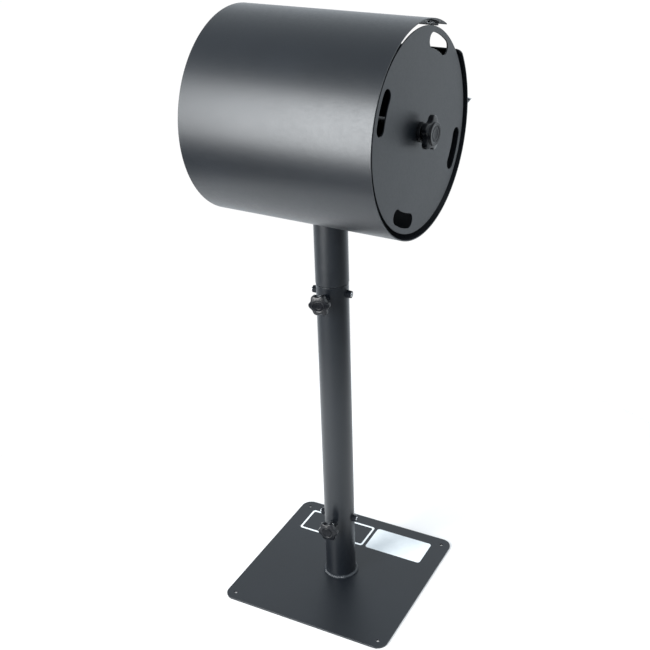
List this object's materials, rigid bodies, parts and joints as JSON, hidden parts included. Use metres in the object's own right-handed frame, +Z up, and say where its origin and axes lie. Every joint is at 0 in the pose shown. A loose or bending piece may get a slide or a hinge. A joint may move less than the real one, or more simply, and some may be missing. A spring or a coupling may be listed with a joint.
{
  "type": "roll dispenser stand",
  "caption": "Round sheet-steel drum dispenser with a long window and a lift-off slotted end disc, on a height-adjustable pole stand with a square base plate.",
  "frame": {"origin": "middle of the base plate's underside, on the floor", "axes": "+Z up along the pole, +X along the drum's axis towards the lift-off disc, +Y towards the dispensing window and the tear bar; the base plate is turned 2.7 degrees about +Z from these axes"},
  "size_m": [0.3256, 0.3216, 0.9585],
  "materials": {
    "powder_coat": "satin charcoal powder coat",
    "weld": "coated weld bead",
    "knob_plastic": "moulded black plastic",
    "zinc": "bright zinc plate",
    "stainless": "plain stainless sheet",
    "marking": "white film"
  },
  "bodies": {
    "stand": {"base_plate": "powder_coat", "marking_frame": "marking", "marking_panel": "marking", "pole_tube": "powder_coat", "foot_weld": "weld", "lower_nut_front": "powder_coat", "lower_nut_left": "powder_coat", "lower_nut_right": "powder_coat", "lower_set_screw_left": "zinc", "lower_set_screw_right": "zinc", "upper_nut_front": "powder_coat", "upper_nut_left": "powder_coat", "upper_nut_right": "powder_coat", "upper_set_screw_left": "zinc", "upper_set_screw_right": "zinc"},
    "slider": {"inner_tube": "powder_coat"},
    "head": {"neck_tube": "powder_coat", "drum_shell": "powder_coat", "drum_end_wall": "powder_coat", "lip_strip": "powder_coat", "lip_rivet_1": "zinc", "lip_rivet_2": "zinc", "lip_rivet_3": "zinc", "tear_bar": "stainless", "tear_rivet_1": "zinc", "tear_rivet_2": "zinc", "tear_rivet_3": "zinc", "spindle_flange": "powder_coat", "spindle_tube": "powder_coat", "spindle_insert": "zinc"},
    "lower_stud": {"lower_stud": "zinc"},
    "lower_knob": {"lower_knob": "knob_plastic", "lower_knob_cap": "knob_plastic"},
    "upper_stud": {"upper_stud": "zinc"},
    "upper_knob": {"upper_knob": "knob_plastic", "upper_knob_cap": "knob_plastic"},
    "disc_bush": {"disc_bush": "knob_plastic"},
    "end_disc": {"end_disc": "powder_coat"},
    "end_stud": {"end_stud": "zinc"},
    "end_knob": {"end_knob": "knob_plastic", "end_knob_cap": "knob_plastic"}
  },
  "joints": [
    {"name": "height_slide", "type": "slide", "parent": "stand", "child": "slider", "axis": [0, 0, 1], "range_m": [0, 0.35]},
    {"name": "head_turn", "type": "hinge", "parent": "slider", "child": "head", "pos_m": [0, 0, 0.557], "axis": [0, 0, 1], "continuous": true},
    {"name": "lower_stud_travel", "type": "slide", "parent": "stand", "child": "lower_stud", "axis": [0.1288, -0.9917, 0], "range_m": [0, 0.006]},
    {"name": "lower_knob_turn", "type": "hinge", "parent": "lower_stud", "child": "lower_knob", "pos_m": [0.0058, -0.04463, 0.119], "axis": [0.1288, -0.9917, 0], "range_deg": [0, 2160]},
    {"name": "upper_stud_travel", "type": "slide", "parent": "stand", "child": "upper_stud", "axis": [0.1288, -0.9917, 0], "range_m": [0, 0.006]},
    {"name": "upper_knob_turn", "type": "hinge", "parent": "upper_stud", "child": "upper_knob", "pos_m": [0.0058, -0.04463, 0.5395], "axis": [0.1288, -0.9917, 0], "range_deg": [0, 2160]},
    {"name": "disc_pull", "type": "slide", "parent": "head", "child": "disc_bush", "axis": [1, 0, 0], "range_m": [0, 0.25]},
    {"name": "disc_spin", "type": "hinge", "parent": "disc_bush", "child": "end_disc", "pos_m": [0.146, 0, 0.809], "axis": [1, 0, 0], "continuous": true},
    {"name": "end_stud_travel", "type": "slide", "parent": "disc_bush", "child": "end_stud", "axis": [1, 0, 0], "range_m": [0, 0.0215]},
    {"name": "end_knob_turn", "type": "hinge", "parent": "end_stud", "child": "end_knob", "pos_m": [0.16, 0, 0.809], "axis": [1, 0, 0], "range_deg": [0, 6120]}
  ],
  "couplings": [
    {"joint": "lower_stud_travel", "follows": "lower_knob_turn", "m_per_rad": 0.000159},
    {"joint": "upper_stud_travel", "follows": "upper_knob_turn", "m_per_rad": 0.000159},
    {"joint": "end_stud_travel", "follows": "end_knob_turn", "m_per_rad": 0.000198}
  ]
}
